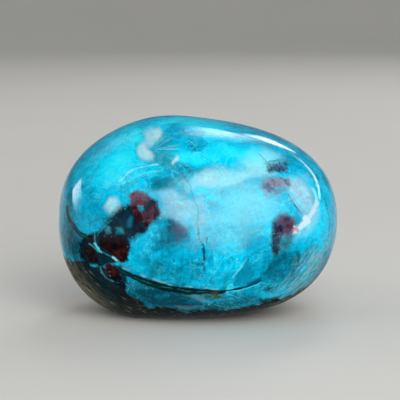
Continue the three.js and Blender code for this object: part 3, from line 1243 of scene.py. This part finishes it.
SOFTBOXES = [
    Softbox("front_sky", 157, 33, 0.55, 0.74, 0.70, 0, 5.0, (0.45, 0.45, 0.04, 0.55)),
    Softbox("top_sky", 13, 50, 0.55, 0.21, 0.30, 0, 7.5, (0.90, 0.45, 0.10, 0.60)),
    Softbox("window", 18, 28, 0.55, 0.13, 0.15, 0, 5.2, (0.20, 0.30, 0.25, 0.25)),
    Softbox("shoulder_strip", 50, 22, 0.55, 0.50, 0.04, 28, 8.0, (0.10, 0.60, 0.1, 0.1)),
    Softbox("left_panel", -70, 9, 0.55, 0.30, 0.15, -28, 7.5, (0.12, 0.75, 0.15, 0.10)),
    Softbox("left_fill", -118, 42, 0.60, 0.50, 0.50, 0, 1.4, (0.5, 0.5, 0.5, 0.5)),
    Softbox("back_fill", -35, 40, 0.60, 0.40, 0.40, 0, 0.8, (0.5, 0.5, 0.5, 0.5)),
]


def middle_of_solid():
    low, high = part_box(CAD_NODE)
    return (low + high) / 2


def facing(out):
    """The turn that looks back along out, as cameras and lamps look down their own -Z."""
    return out.to_track_quat("Z", "Y").to_matrix().to_4x4()


def fade_softbox(light, fades):
    """Dims a softbox towards its sides, as a cloth diffuser does."""
    light.use_nodes = True
    graph = Graph(light.node_tree)
    across, up, _ = graph.parts(graph.place("UV"))
    left, right, low, high = (max(fade, 0.001) for fade in fades)
    strength = graph.step(across, 0.0, left) * graph.step(across, 1.0, 1.0 - right)
    strength = strength * graph.step(up, 0.0, low) * graph.step(up, 1.0, 1.0 - high)
    graph.feed(light.node_tree.nodes["Emission"].inputs["Strength"], strength)


def add_softbox(box):
    turn = math.radians(box.turn)
    climb = math.radians(box.climb)
    out = Vector((math.sin(turn) * math.cos(climb), math.cos(turn) * math.cos(climb), math.sin(climb)))
    light = bpy.data.lights.new(box.name, "AREA")
    light.shape = "RECTANGLE"
    light.size = box.wide
    light.size_y = box.tall
    light.energy = box.glow * math.pi * box.wide * box.tall
    fade_softbox(light, box.fades)
    lamp = bpy.data.objects.new(box.name, light)
    roll = Matrix.Rotation(math.radians(box.roll), 4, "Z")
    lamp.matrix_world = Matrix.Translation(middle_of_solid() + out * box.reach) @ facing(out) @ roll
    lamp.visible_camera = False
    bpy.context.scene.collection.objects.link(lamp)


# The floor's rings, in metres.
FLAT_RADII = (0.02, 0.10, 0.30, 0.60)
RIM_RADIUS = 1.00
RIM_HEIGHT = 0.40


def floor_mesh(turns=96, steps=24):
    """A flat disc whose rim sweeps up into a low wall."""
    profile = [(radius, 0.0) for radius in FLAT_RADII]
    flat = FLAT_RADII[-1]
    for step in range(1, steps + 1):
        angle = math.pi / 2 * step / steps
        across = flat + (RIM_RADIUS - flat) * math.sin(angle)
        profile.append((across, RIM_HEIGHT * (1 - math.cos(angle))))
    points = [(0.0, 0.0, 0.0)]
    for radius, height in profile:
        for turn in range(turns):
            angle = 2 * math.pi * turn / turns
            points.append((radius * math.cos(angle), radius * math.sin(angle), height))
    faces = [(0, 1 + turn, 1 + (turn + 1) % turns) for turn in range(turns)]
    for ring in range(len(profile) - 1):
        inner = 1 + ring * turns
        outer = inner + turns
        for turn in range(turns):
            after = (turn + 1) % turns
            faces.append((inner + turn, outer + turn, outer + after, inner + after))
    return smooth_mesh("studio_floor", points, faces)


def floor_material(studio):
    material, graph, shader = new_material("pale_floor")
    cloud = graph.noise(graph.place("Object"), 60.0, 3.0)
    paler = tuple(min(1.0, 1.06 * channel) for channel in studio.floor)
    graph.feed(shader.inputs["Base Color"], graph.mix(cloud, tuple(studio.floor), paler))
    shader.inputs["Roughness"].default_value = 0.75
    return material


def add_camera(studio):
    data = bpy.data.cameras.new("camera")
    data.lens = studio.lens
    data.sensor_width = FILM_WIDTH
    data.clip_start = NEAREST_SEEN
    camera = bpy.data.objects.new("camera", data)
    aim = Vector(CAMERA_AIM) * MM
    out = Vector((0.0, -math.cos(studio.climb), math.sin(studio.climb)))
    camera.matrix_world = Matrix.Translation(aim + out * studio.reach) @ facing(out)
    bpy.context.scene.collection.objects.link(camera)
    bpy.context.scene.camera = camera


def add_room_light(studio):
    world = bpy.data.worlds.new("soft_room")
    world.use_nodes = True
    background = world.node_tree.nodes["Background"]
    background.inputs["Color"].default_value = ROOM_TINT
    # The polish mirrors a dimmer room than the one that lights the stone.
    graph = Graph(world.node_tree)
    path = graph.node("ShaderNodeLightPath", {})
    mirrored = Field(graph, path.outputs["Is Glossy Ray"])
    _, _, up = graph.parts(graph.place("Generated"))
    off = graph.far(up - HORIZON_LEVEL)
    horizon = graph.step(off, HORIZON_EDGE, HORIZON_CORE, studio.mirrored, studio.horizon)
    room = mirrored * horizon + (1.0 - mirrored) * studio.glow
    graph.feed(background.inputs["Strength"], room)
    bpy.context.scene.world = world


# ----------------------------------------------------------------------------------------
# Operators, panel and registration.
# ----------------------------------------------------------------------------------------


class PEBBLE_OT_stone(bpy.types.Operator):
    """Build the polished stone and everything grown into it"""

    bl_idname = "pebble.stone"
    bl_label = "Polished Stone"
    bl_options = {"REGISTER", "UNDO"}

    def execute(self, context):
        scene = context.scene
        piece = bpy.data.objects.new(PIECE_NAME, stone_mesh(scene.pebble_shape))
        scene.collection.objects.link(piece)
        context.view_layer.update()
        skin = Skin(piece)
        carve(piece.data, skin, scene.pebble_shape)
        carry_marks(piece.data, skin)
        piece.data.materials.append(stone_material(scene.pebble_palette))
        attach(piece, BODY)
        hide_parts(CAD_NODE)
        return {"FINISHED"}


class PEBBLE_OT_stage(bpy.types.Operator):
    """Build the pale floor, the soft lights and the camera"""

    bl_idname = "pebble.stage"
    bl_label = "Studio"
    bl_options = {"REGISTER", "UNDO"}

    def execute(self, context):
        studio = context.scene.pebble_studio
        floor = bpy.data.objects.new("studio_floor", floor_mesh())
        floor.data.materials.append(floor_material(studio))
        context.scene.collection.objects.link(floor)
        floor.visible_glossy = False
        for box in SOFTBOXES:
            add_softbox(box)
        add_room_light(studio)
        add_camera(studio)
        context.scene.view_settings.view_transform = "Standard"
        return {"FINISHED"}


class PEBBLE_PT_panel(bpy.types.Panel):
    """Lists the pebble's parts"""

    bl_idname = "PEBBLE_PT_panel"
    bl_label = "Chrysocolla Pebble"
    bl_space_type = "VIEW_3D"
    bl_region_type = "UI"
    bl_category = "Pebble"

    def draw(self, context):
        for operator in OPERATORS:
            self.layout.operator(operator.bl_idname)
        scene = context.scene
        for settings in (scene.pebble_shape, scene.pebble_palette, scene.pebble_studio):
            column = self.layout.column()
            for name in settings.__annotations__:
                column.prop(settings, name)


OPERATORS = (PEBBLE_OT_stone, PEBBLE_OT_stage)
CLASSES = (PebbleShape, PebblePalette, PebbleStudio, *OPERATORS, PEBBLE_PT_panel)


def register():
    for cls in CLASSES:
        bpy.utils.register_class(cls)
    bpy.types.Scene.pebble_shape = PointerProperty(type=PebbleShape)
    bpy.types.Scene.pebble_palette = PointerProperty(type=PebblePalette)
    bpy.types.Scene.pebble_studio = PointerProperty(type=PebbleStudio)


def unregister():
    del bpy.types.Scene.pebble_studio
    del bpy.types.Scene.pebble_palette
    del bpy.types.Scene.pebble_shape
    for cls in reversed(CLASSES):
        bpy.utils.unregister_class(cls)


def main():
    register()
    bpy.ops.pebble.stone()
    bpy.ops.pebble.stage()


if __name__ == "__main__":
    main()
